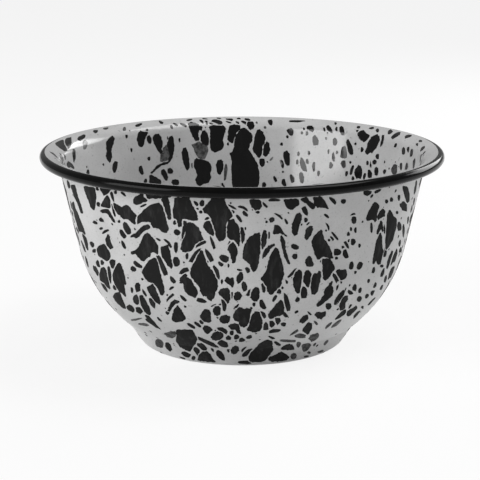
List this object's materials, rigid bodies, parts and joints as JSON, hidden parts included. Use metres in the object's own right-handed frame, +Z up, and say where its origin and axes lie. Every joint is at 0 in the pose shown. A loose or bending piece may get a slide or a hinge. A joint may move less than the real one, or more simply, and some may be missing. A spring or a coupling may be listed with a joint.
{
  "type": "enamel basin bowl",
  "caption": "Round enamelled steel basin bowl with a stepped foot, a flared wall, a rolled black rim and black splatter on pale grey.",
  "frame": {"origin": "centre of the standing face, on the axis of the bowl", "axes": "+Z up along the axis of the bowl; the bowl is round, so X and Y are any two level directions, with the pictured side towards -Y"},
  "size_m": [0.204, 0.204, 0.0995],
  "materials": {
    "sheet_steel": "pickled matt steel",
    "ground_enamel": "dark fused glass",
    "pale_enamel": "gloss fused glass",
    "black_enamel": "gloss fused glass"
  },
  "bodies": {
    "root": {"steel_shell": "sheet_steel", "ground_coat_inside": "ground_enamel", "ground_coat_outside": "ground_enamel", "cover_coat_inside": "pale_enamel", "cover_coat_outside": "pale_enamel", "rim_band": "black_enamel"}
  },
  "joints": []
}
